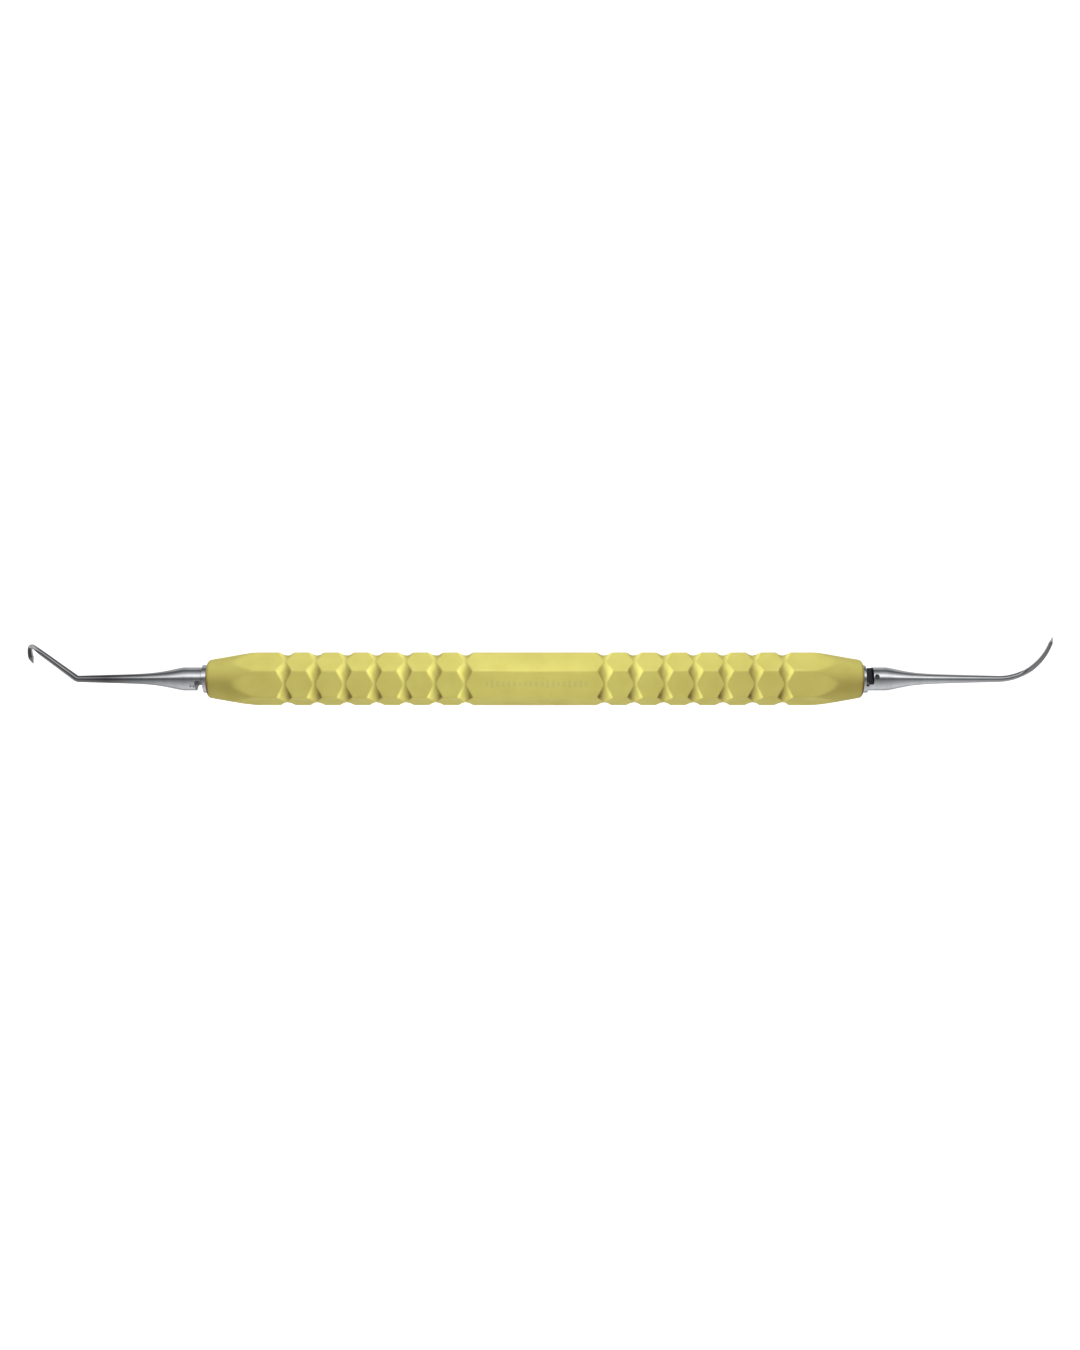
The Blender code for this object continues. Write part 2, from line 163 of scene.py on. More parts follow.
def grid_mesh(name, rings, closed):
    """Quads between rings of points. closed joins the last ring to the first, else both are capped."""
    width = len(rings[0])
    points = [tuple(point) for ring in rings for point in ring]
    faces = []
    pairs = len(rings) if closed else len(rings) - 1
    for j in range(pairs):
        k = (j + 1) % len(rings)
        for i in range(width):
            m = (i + 1) % width
            faces.append((j * width + i, j * width + m, k * width + m, k * width + i))
    if not closed:
        faces.append(tuple(range(width)))
        faces.append(tuple(range((len(rings) - 1) * width, len(rings) * width)))
    mesh = bpy.data.meshes.new(name)
    mesh.from_pydata(points, [], faces)
    bm = bmesh.new()
    bm.from_mesh(mesh)
    bmesh.ops.recalc_face_normals(bm, faces=bm.faces)
    bm.to_mesh(mesh)
    bm.free()
    return mesh


def add_piece(name, mesh):
    piece = bpy.data.objects.new(name, mesh)
    bpy.context.scene.collection.objects.link(piece)
    return piece


def finish_piece(piece, node, sharp_angle):
    piece.data.shade_smooth()
    piece.data.set_sharp_from_angle(angle=math.radians(sharp_angle))
    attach(piece, BODY)
    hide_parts(node)


def cut(piece, cutters):
    """Cuts the piece; the new faces take the cutter's material."""
    for cutter in cutters:
        step = piece.modifiers.new(cutter.name, "BOOLEAN")
        step.operation = "DIFFERENCE"
        step.object = cutter
        step.material_mode = "TRANSFER"
    bpy.context.view_layer.update()
    graph = bpy.context.evaluated_depsgraph_get()
    mesh = bpy.data.meshes.new_from_object(piece.evaluated_get(graph))
    piece.modifiers.clear()
    piece.data = mesh


def side_point(side, station, rise=0.0, out=0.0):
    return AXIS_MIDDLE + ALONG * side * (HALF_LENGTH + station) + RISE * rise + OUT * out


def outward(turn):
    """Unit vector square to the handle, turned from OUT towards RISE."""
    return OUT * math.cos(turn) + RISE * math.sin(turn)


def around(angle):
    """Unit vector square to the handle. At an angle of 0 it is +Z, a flat's normal."""
    return Vector((0.0, math.sin(angle), math.cos(angle)))


# ---------------------------------------------------------------- grip


def smooth_least(a, b, blend):
    """The smaller of two, with the edge where they cross rounded off over blend."""
    share = max(blend - abs(a - b), 0.0) / blend
    return min(a, b) - share * share * blend / 4


def hexagon_radius(angle):
    """Distance to the wall of the hexagon with round corners."""
    turn = abs((angle + math.pi / 6) % (math.pi / 3) - math.pi / 6)
    inner = APOTHEM - CORNER_RADIUS
    if turn <= math.atan2(inner * math.tan(math.pi / 6), APOTHEM):
        return APOTHEM / math.cos(turn)
    middle = inner / math.cos(math.pi / 6)
    off = math.pi / 6 - turn
    return middle * math.cos(off) + math.sqrt(CORNER_RADIUS**2 - (middle * math.sin(off)) ** 2)


def grip_angles():
    """Angles round one grip ring: even steps across each flat, close ones round each corner."""
    inner = APOTHEM - CORNER_RADIUS
    half_flat = inner * math.tan(math.pi / 6)
    edge = math.atan2(half_flat, APOTHEM)
    angles = []
    for sector in range(6):
        base = sector * math.pi / 3
        for i in range(FLAT_COLUMNS):
            across = half_flat * (2 * i / FLAT_COLUMNS - 1)
            angles.append(base + math.atan2(across, APOTHEM))
        for i in range(CORNER_COLUMNS):
            angles.append(base + edge + (math.pi / 3 - 2 * edge) * i / CORNER_COLUMNS)
    return angles


def groove_reach(radius):
    """Half the width of a groove where it meets a wall at that radius."""
    depth = GROOVE_FLOOR_RADIUS + GROOVE_ARC_RADIUS - radius
    return math.sqrt(max(GROOVE_ARC_RADIUS**2 - depth**2, 0.0))


def groove_radius(offset):
    """Radius of the groove's arc at that distance from its middle."""
    offset = min(abs(offset), GROOVE_ARC_RADIUS * 0.999)
    return GROOVE_FLOOR_RADIUS + GROOVE_ARC_RADIUS - math.sqrt(GROOVE_ARC_RADIUS**2 - offset**2)


def cone_radius(x):
    return CONE_END_RADIUS + (CONE_END - x) * CONE_SLOPE


def groove_rows(wall):
    """(x, radius) down one column of the grip, from its middle to the far side of its last groove."""
    reach = groove_reach(wall)
    blend = SOFT_EDGE * (wall - GROOVE_FLOOR_RADIUS)
    margin = min(GROOVE_MARGIN, reach * GROOVE_MARGIN_SHARE)
    floor = reach - margin
    rows = []
    last = 0.0
    for k in range(GROOVES_PER_SIDE):
        middle = FIRST_GROOVE + k * GROOVE_PITCH
        start = middle - reach - margin
        land_steps = LAND_STEPS if k else MIDDLE_LAND_STEPS
        for i in range(1 if k else 0, land_steps):
            rows.append((last + (start - last) * i / land_steps, wall))
        places = [middle - reach + margin * m for m in MARGIN_PLACES]
        places += [middle + floor * (2 * i / FLOOR_STEPS - 1) for i in range(1, FLOOR_STEPS)]
        places += [middle + reach + margin * m for m in MARGIN_PLACES]
        for x in places:
            rows.append((x, smooth_least(wall, groove_radius(x - middle), blend)))
        last = middle + reach + margin
    return rows


def cone_rows(wall, last):
    """The rows after that: the land, the cone and the round that ends it."""
    crossing = CONE_END - (wall - CONE_END_RADIUS) / CONE_SLOPE
    cone_length = CONE_END - crossing - CONE_MARGIN
    rows = []
    for i in range(1, CONE_LAND_STEPS):
        rows.append((last + (crossing - CONE_MARGIN - last) * i / CONE_LAND_STEPS, wall))
    places = [crossing + CONE_MARGIN * m for m in MARGIN_PLACES]
    places += [crossing + CONE_MARGIN + cone_length * i / CONE_STEPS for i in range(1, CONE_STEPS + 1)]
    for x in places:
        rows.append((x, smooth_least(wall, cone_radius(x), EDGE_BLEND)))
    for i in range(1, ROUND_STEPS + 1):
        turn = CONE_ANGLE + (math.pi / 2 - CONE_ANGLE) * i / ROUND_STEPS
        x = ROUND_MIDDLE + END_ROUND_RADIUS * math.sin(turn)
        rows.append((x, END_FACE_RADIUS + END_ROUND_RADIUS * math.cos(turn)))
    return rows


def mouth_rows():
    """The last rows: over the end face, round the mouth's edge and into the bore."""
    fold = MOUTH_CHAMFER * CHAMFER_FOLD
    return [
        (HALF_LENGTH, BORE_RADIUS + MOUTH_CHAMFER),
        (HALF_LENGTH - fold, BORE_RADIUS + fold),
        (HALF_LENGTH - MOUTH_CHAMFER, BORE_RADIUS),
        (HALF_LENGTH + BORE_ROW_STATION, BORE_RADIUS),
    ]


def half_rows(wall):
    grooved = groove_rows(wall)
    return grooved + cone_rows(wall, grooved[-1][0]) + mouth_rows()


def make_grip():
    columns = []
    for angle in grip_angles():
        half = half_rows(hexagon_radius(angle))
        left = [(-x, radius) for x, radius in reversed(half[1:])]
        direction = around(angle)
        columns.append([AXIS_MIDDLE + ALONG * x + direction * radius for x, radius in left + half])
    rings = [list(ring) for ring in zip(*columns)]
    piece = add_piece("grip", grid_mesh("grip", rings, True))
    piece.data.materials.append(grip_material())
    finish_piece(piece, "grip_sleeve", 50.0)


# ---------------------------------------------------------------- cutters


def bmesh_object(name, fill, material):
    bm = bmesh.new()
    fill(bm)
    mesh = bpy.data.meshes.new(name)
    bm.to_mesh(mesh)
    bm.free()
    mesh.materials.append(material)
    return add_piece(name, mesh)


def notch_cutter(name, side, material):
    height = TUBE_RADIUS * 2

    def block(bm):
        bmesh.ops.create_cube(bm, size=1.0)
        bmesh.ops.scale(bm, vec=(NOTCH_LENGTH, TUBE_RADIUS * 3, height), verts=bm.verts)

    cutter = bmesh_object(name + "_notch_cutter", block, material)
    edges = cutter.modifiers.new("Edges", "BEVEL")
    edges.width = NOTCH_CORNER
    edges.segments = NOTCH_CORNER_STEPS
    facing = outward(NOTCH_TURN[name])
    turned = Matrix((ALONG, facing.cross(ALONG), facing)).transposed().to_4x4()
    middle = side_point(side, NOTCH_START[name] + NOTCH_LENGTH / 2)
    middle += facing * (NOTCH_FLOOR + height / 2)
    cutter.matrix_world = Matrix.Translation(middle) @ turned
    return cutter


def dimple_cutter(name, side, material):
    ball_radius = (DIMPLE_RADIUS**2 + DIMPLE_DEPTH**2) / (2 * DIMPLE_DEPTH)
    facing = outward(DIMPLE_TURN[name])
    middle = side_point(side, DIMPLE_STATION[name]) + facing * (NECK_RADIUS - DIMPLE_DEPTH + ball_radius)

    def ball(bm):
        bmesh.ops.create_uvsphere(bm, u_segments=48, v_segments=32, radius=ball_radius)

    cutter = bmesh_object(name + "_dimple_cutter", ball, material)
    cutter.matrix_world = Matrix.Translation(middle)
    return cutter


def pin_cutter(name, side, material):
    def cylinder(bm):
        bmesh.ops.create_cone(
            bm,
            cap_ends=True,
            segments=32,
            radius1=PIN_HOLE_RADIUS,
            radius2=PIN_HOLE_RADIUS,
            depth=TUBE_RADIUS * 3,
        )

    cutter = bmesh_object(name + "_pin_cutter", cylinder, material)
    cutter.matrix_world = Matrix.Translation(side_point(side, PIN_STATION))
    return cutter


# ---------------------------------------------------------------- core tube


def make_core_tube(material, cutters):
    end = HALF_LENGTH + COLLAR_STATION
    fold = RIM_CHAMFER * CHAMFER_FOLD
    half = [
        (HALF_LENGTH + TUBE_ROW_STATION, TUBE_RADIUS),
        (end - RIM_CHAMFER, TUBE_RADIUS),
        (end - fold, TUBE_RADIUS - fold),
        (end, TUBE_RADIUS - RIM_CHAMFER),
        (end, TUBE_BORE_RADIUS + RIM_CHAMFER / 2),
        (end - RIM_CHAMFER / 2, TUBE_BORE_RADIUS),
    ]
    outline = [(-x, radius) for x, radius in reversed(half)] + half
    rings = []
    for x, radius in outline:
        angles = (2 * math.pi * i / TUBE_POINTS for i in range(TUBE_POINTS))
        rings.append([AXIS_MIDDLE + ALONG * x + around(angle) * radius for angle in angles])
    piece = add_piece("tube", grid_mesh("tube", rings, True))
    piece.data.materials.append(material)
    cut(piece, cutters)
    finish_piece(piece, "core_tube", 28.0)


# ---------------------------------------------------------------- working ends


def shank_radius(station):
    slow = SHANK_RADIUS + SHANK_SLOPE * (BEND_STATION - station)
    excess = NECK_RADIUS - SHANK_RADIUS - SHANK_SLOPE * (BEND_STATION - TAPER_START)
    fall = (max(station - TAPER_START, 0.0) / TAPER_LENGTH) ** TAPER_POWER
    return slow + excess * math.exp(-fall)


def blank_rings():
    """(station, radius) from the tang's inner end to where the shank's even taper begins."""
    shoulder = COLLAR_STATION + FIT_GAP
    fold = NECK_CHAMFER * CHAMFER_FOLD
    neck = shoulder + NECK_CHAMFER
    seal_top = SEAL_GROOVE_STATION + SEAL_GROOVE_WIDTH / 2
    seal_bottom = SEAL_GROOVE_STATION - SEAL_GROOVE_WIDTH / 2
    rings = [
        (TANG_END_STATION, THREAD_RADIUS - 2 * NECK_CHAMFER),
        (TANG_END_STATION + 2 * NECK_CHAMFER, THREAD_RADIUS),
        (PILOT_END_STATION, THREAD_RADIUS),
        (PILOT_END_STATION, PILOT_RADIUS),
        (seal_bottom, PILOT_RADIUS),
        (seal_bottom, THREAD_RADIUS),
        (seal_top, THREAD_RADIUS),
        (seal_top, PILOT_RADIUS),
        (shoulder, PILOT_RADIUS),
        (shoulder, NECK_RADIUS - NECK_CHAMFER),
        (shoulder + fold, NECK_RADIUS - fold),
        (neck, NECK_RADIUS),
    ]
    for i in range(1, NECK_STEPS):
        rings.append((neck + (TAPER_START - neck) * i / NECK_STEPS, NECK_RADIUS))
    for i in range(TAPER_STEPS):
        station = TAPER_START + (STRAIGHT_END - TAPER_START) * (i / TAPER_STEPS) ** TAPER_SPREAD
        rings.append((station, shank_radius(station)))
    return rings


def walk(runs):
    """Places along a route of (length, turn, steps) runs, as (station, rise, heading, way)."""
    station, rise, heading, way = STRAIGHT_END, 0.0, 0.0, 0.0
    places = [(station, rise, heading, way)]
    for length, turn, steps in runs:
        for _ in range(steps):
            chord = length / steps
            half_turn = turn / steps / 2
            if half_turn != 0.0:
                chord *= math.sin(half_turn) / half_turn
            station += chord * math.cos(heading + half_turn)
            rise += chord * math.sin(heading + half_turn)
            heading += turn / steps
            way += length / steps
            places.append((station, rise, heading, way))
    return places


def eased(share):
    return share * share * (3 - 2 * share)


def between(stations, way):
    """Radius and share of blade at a way, between rows of (way, radius, how far it is a blade)."""
    for before, after in zip(stations, stations[1:]):
        if way <= after[0]:
            share = max(way - before[0], 0.0) / (after[0] - before[0])
            radius = before[1] + share * (after[1] - before[1])
            return radius, before[2] + eased(share) * (after[2] - before[2])
    return stations[-1][1:]


def section_radius(angle, blade):
    """Distance to the edge of a section of unit size. At an angle of 0 it faces the blade's back."""
    total = 0.0
    for facing, depth in SECTION_WALLS:
        total += (max(math.cos(angle - facing), 0.0) / depth) ** SECTION_SHARPNESS
    ground = total ** (-1.0 / SECTION_SHARPNESS)
    return 1.0 + blade * (ground - 1.0)


def ring_points(side, back, place, radius, blade):
    station, rise, heading = place
    ring = []
    for i in range(RING_POINTS):
        angle = 2 * math.pi * i / RING_POINTS
        reach = radius * section_radius(angle, blade)
        left = back * reach * math.cos(angle)
        ring.append(
            side_point(
                side,
                station - left * math.sin(heading),
                rise + left * math.cos(heading),
                reach * math.sin(angle),
            )
        )
    return ring


def hook_route():
    """The left tip as walked runs, rows of (way, radius, how far it is a blade), and its back's side."""
    bend_turn, bend_radius = math.radians(36.0), 1.0 * MM
    shank = 8.80 * MM
    fold_turn, fold_radius = math.radians(-126.0), 0.36 * MM
    blade_turn, blade_radius = math.radians(-26.0), 5.6 * MM
    straight = BEND_STATION - STRAIGHT_END - bend_radius * math.tan(bend_turn / 2)
    bend = bend_radius * bend_turn
    fold = fold_radius * -fold_turn
    blade = blade_radius * -blade_turn
    shank_end = straight + bend + shank
    length = shank_end + fold + blade
    runs = (
        (straight, 0.0, 6),
        (bend, bend_turn, 14),
        (shank, 0.0, 24),
        (fold, fold_turn, 26),
        (blade, blade_turn, 30),
    )
    stations = (
        (0.0, shank_radius(STRAIGHT_END), 0.0),
        (straight, shank_radius(BEND_STATION), 0.0),
        (shank_end - 1.6 * MM, 0.45 * MM, 0.0),
        (shank_end, 0.38 * MM, 1.0),
        (shank_end + fold, 0.37 * MM, 1.0),
        (length - 1.0 * MM, 0.45 * MM, 1.0),
        (length, 0.05 * MM, 1.0),
    )
    return runs, stations, 1


def sickle_route():
    """The right tip, in the same form as the hook."""
    start, turn, radius = 23.0 * MM, math.radians(75.0), 9.5 * MM
    straight = start - STRAIGHT_END
    sweep = radius * turn
    length = straight + sweep
    runs = ((straight, 0.0, 8), (sweep, turn, 70))
    stations = (
        (0.0, shank_radius(STRAIGHT_END), 0.0),
        (straight, shank_radius(start), 0.0),
        (straight + 3.5 * MM, 0.46 * MM, 0.0),
        (straight + 6.0 * MM, 0.46 * MM, 1.0),
        (length - 1.0 * MM, 0.33 * MM, 1.0),
        (length, 0.06 * MM, 1.0),
    )
    return runs, stations, -1


def make_working_end(name, side, route, material, cutters):
    runs, stations, back = route
    rings = []
    for station, radius in blank_rings():
        rings.append(ring_points(side, back, (station, 0.0, 0.0), radius, 0.0))
    for station, rise, heading, way in walk(runs):
        radius, blade = between(stations, way)
        rings.append(ring_points(side, back, (station, rise, heading), radius, blade))
    label = name + "_blade"
    piece = add_piece(label, grid_mesh(label, rings, False))
    piece.data.materials.append(material)
    cut(piece, cutters)
    finish_piece(piece, name + "_working_end", 28.0)


# ---------------------------------------------------------------- materials


GRIP_SHADES = ((0.502, 0.487, 0.124), (0.538, 0.530, 0.142))
# Paler, whiter yellow for the grip's convex edges: a painted highlight.
GRIP_EDGE_HIGHLIGHT = (0.700, 0.650, 0.230)
MARKED_GRIP = (0.30, 0.33, 0.16)
RUBBER_SHADES = ((0.015, 0.015, 0.016), (0.03, 0.03, 0.032))
BRIGHT_STEEL = (0.66, 0.67, 0.68)
COLLAR_STEEL = (0.62, 0.63, 0.65)
INNER_STEEL = (0.50, 0.51, 0.52)
# Steel painted dark on the faces of the notches and of the right dimple: painted shade in the recesses.
LEFT_RECESS_SHADE = (0.05, 0.055, 0.065)
RIGHT_RECESS_SHADE = (0.12, 0.13, 0.14)
# Along the handle, where a tip starts to darken and is darkest, and the share of colour left there.
HOOK_FADE = (-57.0 * MM, -72.0 * MM, 0.18)
SICKLE_FADE = (64.0 * MM, 80.0 * MM, 0.55)

# The printed marking: a row of bars in even cells, with heights that vary from cell to cell.
MARK_CELL = 0.92 * MM
MARK_BAR_SHARE = 0.55
MARK_HALF_HEIGHTS = (0.28 * MM, 0.62 * MM)
MARK_REACH = 8.7 * MM
MARK_LOWEST_Z = 7.6 * MM
MARK_STRENGTH = 0.22


def new_material(name):
    material = bpy.data.materials.new(name)
    material.use_nodes = True
    return material, material.node_tree, material.node_tree.nodes["Principled BSDF"]


def noise(tree, scale, detail, stretch=(1.0, 1.0, 1.0)):
    """Noise on the piece's own coordinates, in cycles per metre."""
    place = tree.nodes.new("ShaderNodeTexCoord")
    mapping = tree.nodes.new("ShaderNodeMapping")
    mapping.inputs["Scale"].default_value = stretch
    texture = tree.nodes.new("ShaderNodeTexNoise")
    texture.inputs["Scale"].default_value = scale
    texture.inputs["Detail"].default_value = detail
    tree.links.new(place.outputs["Object"], mapping.inputs["Vector"])
    tree.links.new(mapping.outputs["Vector"], texture.inputs["Vector"])
    return texture.outputs["Fac"]


def remap(tree, value, low, high, to_low, to_high):
    node = tree.nodes.new("ShaderNodeMapRange")
    node.inputs["From Min"].default_value = low
    node.inputs["From Max"].default_value = high
    node.inputs["To Min"].default_value = to_low
    node.inputs["To Max"].default_value = to_high
    tree.links.new(value, node.inputs["Value"])
    return node.outputs["Result"]


def math_node(tree, operation, *values):
    node = tree.nodes.new("ShaderNodeMath")
    node.operation = operation
    for socket, value in zip(node.inputs, values):
        if isinstance(value, (int, float)):
            socket.default_value = value
        else:
            tree.links.new(value, socket)
    return node.outputs["Value"]


def mix_colour(tree, share, first, second):
    node = tree.nodes.new("ShaderNodeMix")
    node.data_type = "RGBA"
    tree.links.new(share, node.inputs["Factor"])
    for socket, value in ((node.inputs[6], first), (node.inputs[7], second)):
        if isinstance(value, tuple):
            socket.default_value = (*value, 1.0)
        else:
            tree.links.new(value, socket)
    return node.outputs[2]


def bump(tree, height, distance, strength):
    node = tree.nodes.new("ShaderNodeBump")
    node.inputs["Distance"].default_value = distance
    node.inputs["Strength"].default_value = strength
    tree.links.new(height, node.inputs["Height"])
    return node.outputs["Normal"]


def marking(tree):
    """1 on a faint row of short bars on the top flat, in the handle's plain zone, else 0."""
    place = tree.nodes.new("ShaderNodeTexCoord")
    parts = tree.nodes.new("ShaderNodeSeparateXYZ")
    tree.links.new(place.outputs["Object"], parts.inputs["Vector"])
    x, y, z = parts.outputs
    cell = math_node(tree, "FLOOR", math_node(tree, "DIVIDE", x, MARK_CELL))
    inside = math_node(tree, "FRACT", math_node(tree, "DIVIDE", x, MARK_CELL))
    random = tree.nodes.new("ShaderNodeTexWhiteNoise")
    random.noise_dimensions = "1D"
    tree.links.new(cell, random.inputs["W"])
    half_height = remap(tree, random.outputs["Value"], 0.0, 1.0, *MARK_HALF_HEIGHTS)
    bar = math_node(tree, "LESS_THAN", inside, MARK_BAR_SHARE)
    tall = math_node(tree, "LESS_THAN", math_node(tree, "ABSOLUTE", y), half_height)
    near = math_node(tree, "LESS_THAN", math_node(tree, "ABSOLUTE", x), MARK_REACH)
    top = math_node(tree, "GREATER_THAN", z, MARK_LOWEST_Z)
    first = math_node(tree, "MULTIPLY", bar, tall)
    second = math_node(tree, "MULTIPLY", near, top)
    return math_node(tree, "MULTIPLY", first, second)


def grip_material():
    """Matte moulded polymer: fine grain, faint clouding, a painted highlight on the convex edges and a
    faint marking.
    """
    material, tree, shader = new_material("moulded_polymer")
    clouds = remap(tree, noise(tree, 260.0, 3.0), 0.35, 0.65, 0.0, 1.0)
    base = mix_colour(tree, clouds, *GRIP_SHADES)
    geometry = tree.nodes.new("ShaderNodeNewGeometry")
    # Painted highlight: where pointiness is high, on convex edges, the colour is mixed towards a paler,
    # whiter yellow.
    edge = remap(tree, geometry.outputs["Pointiness"], 0.505, 0.56, 0.0, 0.35)
    base = mix_colour(tree, edge, base, GRIP_EDGE_HIGHLIGHT)
    mark = math_node(tree, "MULTIPLY", marking(tree), MARK_STRENGTH)
    base = mix_colour(tree, mark, base, MARKED_GRIP)
    tree.links.new(base, shader.inputs["Base Color"])
    grain = noise(tree, 5200.0, 4.0)
    smear = noise(tree, 420.0, 2.0)
    rough = remap(tree, smear, 0.3, 0.7, 0.44, 0.56)
    tree.links.new(rough, shader.inputs["Roughness"])
    tree.links.new(bump(tree, grain, 0.02 * MM, 0.35), shader.inputs["Normal"])
    shader.inputs["IOR"].default_value = 1.5
    shader.inputs["Specular IOR Level"].default_value = 0.15
    return material


def steel_material(name, colour, roughness, line_depth, darker=0.0, fade=None):
    """Polished steel with fine polishing lines along the handle and faint clouding. darker makes the
    clouds stronger. A fade darkens it along the handle, and a little less again beyond its end."""
    material, tree, shader = new_material(name)
    clouds = remap(tree, noise(tree, 700.0, 4.0), 0.3, 0.7, 0.0, 1.0)
    dull = tuple(value * (0.86 - darker) for value in colour)
    base = mix_colour(tree, clouds, dull, colour)
    if fade:
        start, end, share = fade
        place = tree.nodes.new("ShaderNodeTexCoord")
        split = tree.nodes.new("ShaderNodeSeparateXYZ")
        tree.links.new(place.outputs["Object"], split.inputs["Vector"])
        faded = remap(tree, split.outputs["X"], start, end, 0.0, 1.0)
        paler = remap(tree, split.outputs["X"], end, end * 1.1, 1.0, 0.7)
        faded = math_node(tree, "MULTIPLY", faded, paler)
        base = mix_colour(tree, faded, base, tuple(value * share for value in colour))
    tree.links.new(base, shader.inputs["Base Color"])
    lines = noise(tree, 9000.0, 3.0, (0.06, 1.0, 1.0))
    smudge = noise(tree, 1500.0, 3.0)
    rough = math_node(tree, "ADD", remap(tree, lines, 0.3, 0.7, 0.0, 0.05), roughness - 0.04)
    rough = math_node(tree, "ADD", rough, remap(tree, smudge, 0.4, 0.7, 0.0, 0.06))
    tree.links.new(rough, shader.inputs["Roughness"])
    tree.links.new(bump(tree, lines, line_depth, 0.25), shader.inputs["Normal"])
    shader.inputs["Metallic"].default_value = 1.0
    return material


def rubber_material():
    material, tree, shader = new_material("sealing_rubber")
    speck = remap(tree, noise(tree, 4000.0, 3.0), 0.3, 0.7, 0.0, 1.0)
    tree.links.new(mix_colour(tree, speck, *RUBBER_SHADES), shader.inputs["Base Color"])
    tree.links.new(remap(tree, speck, 0.0, 1.0, 0.5, 0.65), shader.inputs["Roughness"])
    return material


def give_material(node, material):
    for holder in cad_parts[node].material_slots:
        holder.material = material


# ---------------------------------------------------------------- studio


# Camera. The lens and the sensor are in millimetres.
SHOWN_HEIGHT = 227.4 * MM
AIM_ALONG = 0.84 * MM
AIM_RISE = 0.66 * MM
LENS = 41.5
SENSOR = 36.0

FLOOR_REACH = 6.0
FLOOR_DROP = 0.02 * MM
FLOOR_GREY = (0.35, 0.35, 0.35, 1.0)
FLOOR_GLOW = 0.97

# What diffuse surfaces get from the world, and what the camera sees behind the floor.
AMBIENT = (0.13, 0.03, 0.035)
BACKDROP = (1.0, 1.0, 1.0)
STUDIO_TINT = (1.0, 1.01, 1.03)
# What reflections see round the handle, at angles from the lens towards RISE.
STUDIO_STOPS = (
    (-180.0, 0.90),
    (-166.0, 0.60),
    (-148.0, 0.42),
    (-130.0, 0.55),
    (-116.0, 0.80),
    (-90.0, 0.82),
    (-63.0, 0.66),
    (-31.0, 0.40),
    (-10.0, 0.22),
    (0.0, 0.14),
    (8.0, 0.20),
    (17.0, 0.65),
    (29.0, 1.60),
    (40.0, 1.40),
    (50.0, 0.85),
    (68.0, 0.40),
    (84.0, 0.16),
    (98.0, 0.16),
    (112.0, 0.50),
    (130.0, 0.60),
    (150.0, 0.45),
    (166.0, 0.60),
    (180.0, 0.90),
)

KEY_PLACE = (0.0, 0.585, 0.120)
KEY_SIZE = (0.40, 0.25)
KEY_POWER = 3.2
# The crossing lamps: name, distance from the handle's middle to the place it points at, elevation,
# swing towards -Y, width of the cone, power.
CROSS_SPOTS = (
    ("high", 38.5 * MM, 35.0, 0.0, 5.6, 7.3),
    ("low", 30.3 * MM, 11.0, 60.0, 6.6, 6.8),
    ("long", 66.0 * MM, 10.0, -15.0, 5.6, 5.3),
)
SPOT_DISTANCE = 500.0 * MM
SPOT_AIM_Z = 6.0 * MM
SPOT_BLEND = 0.35
SPOT_SOURCE_RADIUS = 0.003


def make_camera():
    """A lens over the handle, tilted so that both bent tips lie flat in the view."""
    aim = AXIS_MIDDLE + ALONG * AIM_ALONG + RISE * AIM_RISE
    data = bpy.data.cameras.new("camera")
    data.lens = LENS
    data.sensor_width = SENSOR
    distance = SHOWN_HEIGHT * LENS / SENSOR
    data.clip_start = 0.01
    data.clip_end = 50.0
    camera = bpy.data.objects.new("camera", data)
    bpy.context.scene.collection.objects.link(camera)
    turned = Matrix((ALONG, RISE, OUT)).transposed().to_4x4()
    camera.matrix_world = Matrix.Translation(aim + OUT * distance) @ turned
    bpy.context.scene.camera = camera


def make_floor():
    """A plain floor that glows enough to look white. Reflections and diffuse surfaces do not see it."""
    material, _, shader = new_material("floor")
    shader.inputs["Base Color"].default_value = FLOOR_GREY
    shader.inputs["Roughness"].default_value = 0.9
    shader.inputs["Emission Color"].default_value = (1.0, 1.0, 1.0, 1.0)
    shader.inputs["Emission Strength"].default_value = FLOOR_GLOW
    bm = bmesh.new()
    bmesh.ops.create_grid(bm, x_segments=1, y_segments=1, size=FLOOR_REACH)
    mesh = bpy.data.meshes.new("floor")
    bm.to_mesh(mesh)
    bm.free()
    mesh.materials.append(material)
    floor = add_piece("floor", mesh)
    floor.location.z = -FLOOR_DROP
    floor.visible_glossy = False
    floor.visible_diffuse = False


def make_world():
    """Diffuse surfaces get a dim warm light and the camera sees a white backdrop. Reflections see a
    long studio wrapped round the handle: dark where the lens looks in, a bright bank on the +Y side
    above it, pale walls and floor."""
    world = bpy.data.worlds.new("studio")
    bpy.context.scene.world = world
    world.use_nodes = True
    tree = world.node_tree
    background = tree.nodes["Background"]
    place = tree.nodes.new("ShaderNodeTexCoord")
    turned = []
    for axis in (RISE, OUT):
        product = tree.nodes.new("ShaderNodeVectorMath")
        product.operation = "DOT_PRODUCT"
        product.inputs[1].default_value = axis
        tree.links.new(place.outputs["Generated"], product.inputs[0])
        turned.append(product.outputs["Value"])
    angle = math_node(tree, "ARCTAN2", *turned)
    ramp = tree.nodes.new("ShaderNodeValToRGB")
    tree.links.new(remap(tree, angle, -math.pi, math.pi, 0.0, 1.0), ramp.inputs["Fac"])
    elements = ramp.color_ramp.elements
    for degrees, _ in STUDIO_STOPS[1:-1]:
        elements.new(degrees / 360 + 0.5)
    for element, (_, value) in zip(elements, STUDIO_STOPS):
        element.color = (*(value * tint for tint in STUDIO_TINT), 1.0)
    rays = tree.nodes.new("ShaderNodeLightPath")
    mixed = mix_colour(tree, rays.outputs["Is Diffuse Ray"], BACKDROP, AMBIENT)
    mixed = mix_colour(tree, rays.outputs["Is Glossy Ray"], mixed, ramp.outputs["Color"])
    tree.links.new(mixed, background.inputs["Color"])
    background.inputs["Strength"].default_value = 1.0


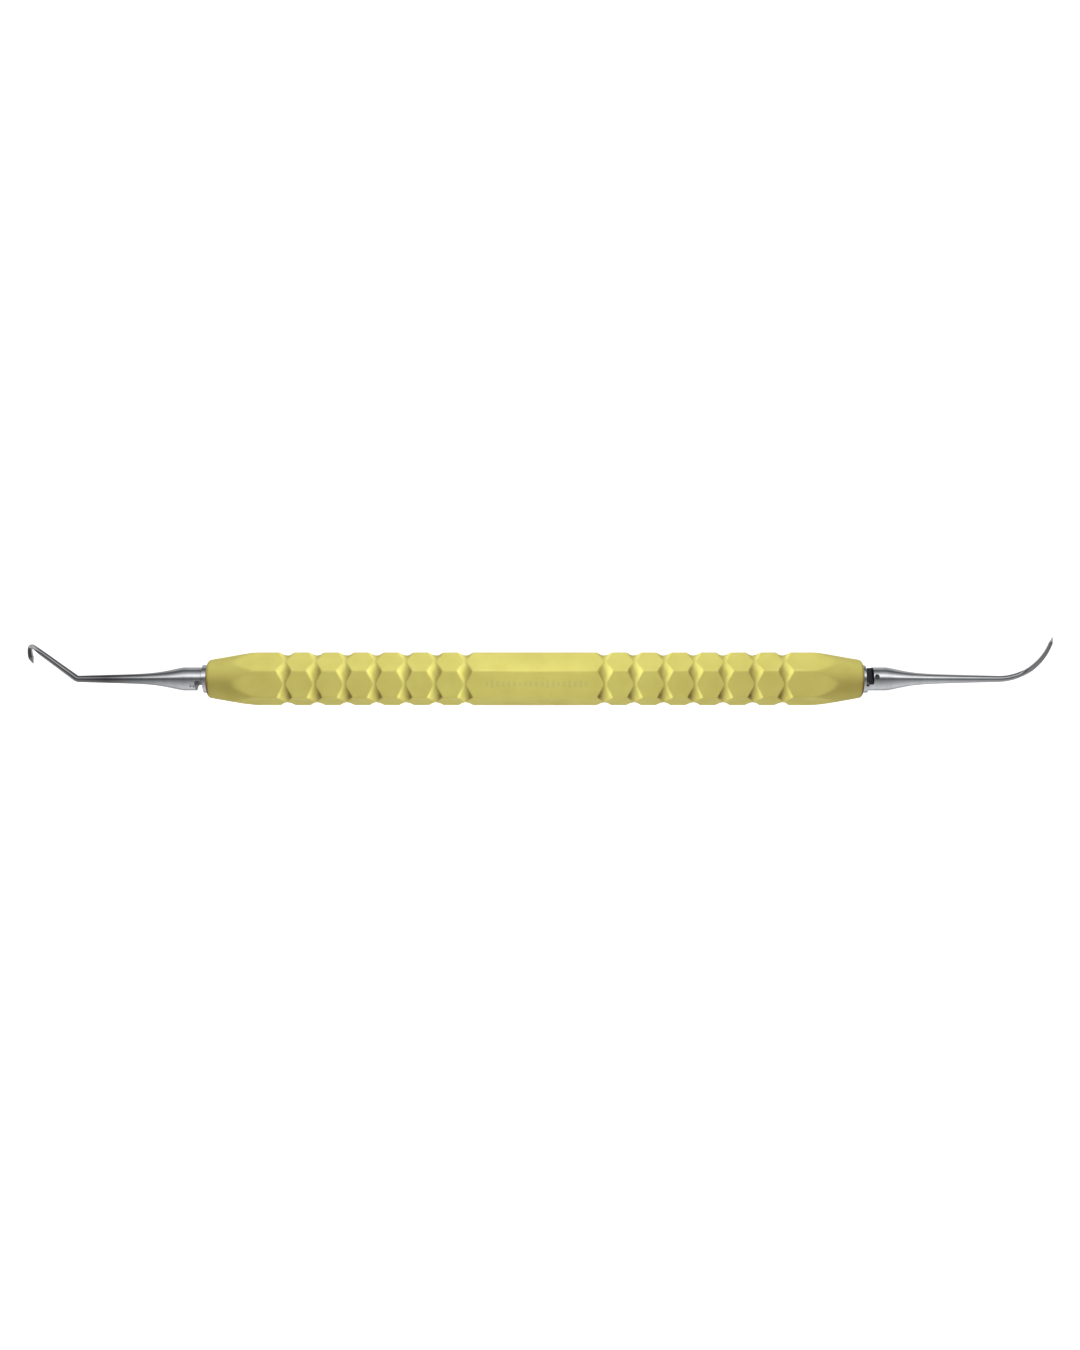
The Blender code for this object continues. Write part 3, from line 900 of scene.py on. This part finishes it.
def add_area(name, place, aim, size, energy):
    data = bpy.data.lights.new(name, "AREA")
    data.shape = "RECTANGLE"
    data.size, data.size_y = size
    data.energy = energy
    light = bpy.data.objects.new(name, data)
    bpy.context.scene.collection.objects.link(light)
    light.location = place
    light.rotation_mode = "QUATERNION"
    light.rotation_quaternion = (Vector(aim) - Vector(place)).to_track_quat("-Z", "Y")
    light.visible_glossy = False


def add_cross_spot(name, side, middle, elevation, swing, cone, energy):
    """A narrow lamp beyond one end that lights the other half of the handle, so that every groove's
    flank that faces the middle of the handle is bright and the one that faces its end is dark."""
    data = bpy.data.lights.new(name, "SPOT")
    data.energy = energy
    data.spot_size = math.radians(cone)
    data.spot_blend = SPOT_BLEND
    data.shadow_soft_size = SPOT_SOURCE_RADIUS
    light = bpy.data.objects.new(name, data)
    bpy.context.scene.collection.objects.link(light)
    aim = Vector((-side * middle, 0.0, SPOT_AIM_Z))
    elevation, swing = math.radians(elevation), math.radians(swing)
    level = Vector((side * math.cos(swing), -math.sin(swing), 0.0))
    upward = Vector((0.0, 0.0, math.sin(elevation)))
    place = aim + (level * math.cos(elevation) + upward) * SPOT_DISTANCE
    light.location = place
    light.rotation_mode = "QUATERNION"
    light.rotation_quaternion = (aim - place).to_track_quat("-Z", "Y")
    light.visible_glossy = False


def make_lights():
    add_area("key", KEY_PLACE, (0.0, 0.0, 0.0), KEY_SIZE, KEY_POWER)
    for name, side in SIDES.items():
        for label, *settings in CROSS_SPOTS:
            add_cross_spot(f"{name}_{label}_spot", side, *settings)


# ---------------------------------------------------------------- everything


def main():
    bpy.context.scene.view_settings.view_transform = "Standard"
    polished = {
        "left": steel_material("hook_steel", BRIGHT_STEEL, 0.12, 0.004 * MM, fade=HOOK_FADE),
        "right": steel_material("sickle_steel", BRIGHT_STEEL, 0.12, 0.004 * MM, fade=SICKLE_FADE),
    }
    collar = steel_material("collar_steel", COLLAR_STEEL, 0.12, 0.006 * MM)
    inner = steel_material("inner_steel", INNER_STEEL, 0.32, 0.010 * MM)
    # The notch faces, and on the right the dimple as well, get steel painted dark as painted shade in
    # the recess.
    recess_shade = {
        "left": steel_material("left_recess_painted_shade", LEFT_RECESS_SHADE, 0.32, 0.010 * MM, darker=0.2),
        "right": steel_material("right_recess_painted_shade", RIGHT_RECESS_SHADE, 0.30, 0.010 * MM, darker=0.2),
    }
    dimpled = {"left": polished["left"], "right": recess_shade["right"]}
    rubber = rubber_material()
    routes = {"left": hook_route(), "right": sickle_route()}
    notches, dimples, holes = {}, {}, {}
    for name, side in SIDES.items():
        notches[name] = notch_cutter(name, side, recess_shade[name])
        dimples[name] = dimple_cutter(name, side, dimpled[name])
        holes[name] = pin_cutter(name, side, inner)
    make_grip()
    make_core_tube(collar, [*notches.values(), *holes.values()])
    for name, side in SIDES.items():
        cutters = [notches[name], dimples[name], holes[name]]
        make_working_end(name, side, routes[name], polished[name], cutters)
        give_material(name + "_socket", inner)
        give_material(name + "_cross_pin", inner)
        give_material(name + "_seal_ring", rubber)
    for cutter in [*notches.values(), *dimples.values(), *holes.values()]:
        bpy.data.objects.remove(cutter, do_unlink=True)
    make_floor()
    make_world()
    make_lights()
    make_camera()


main()
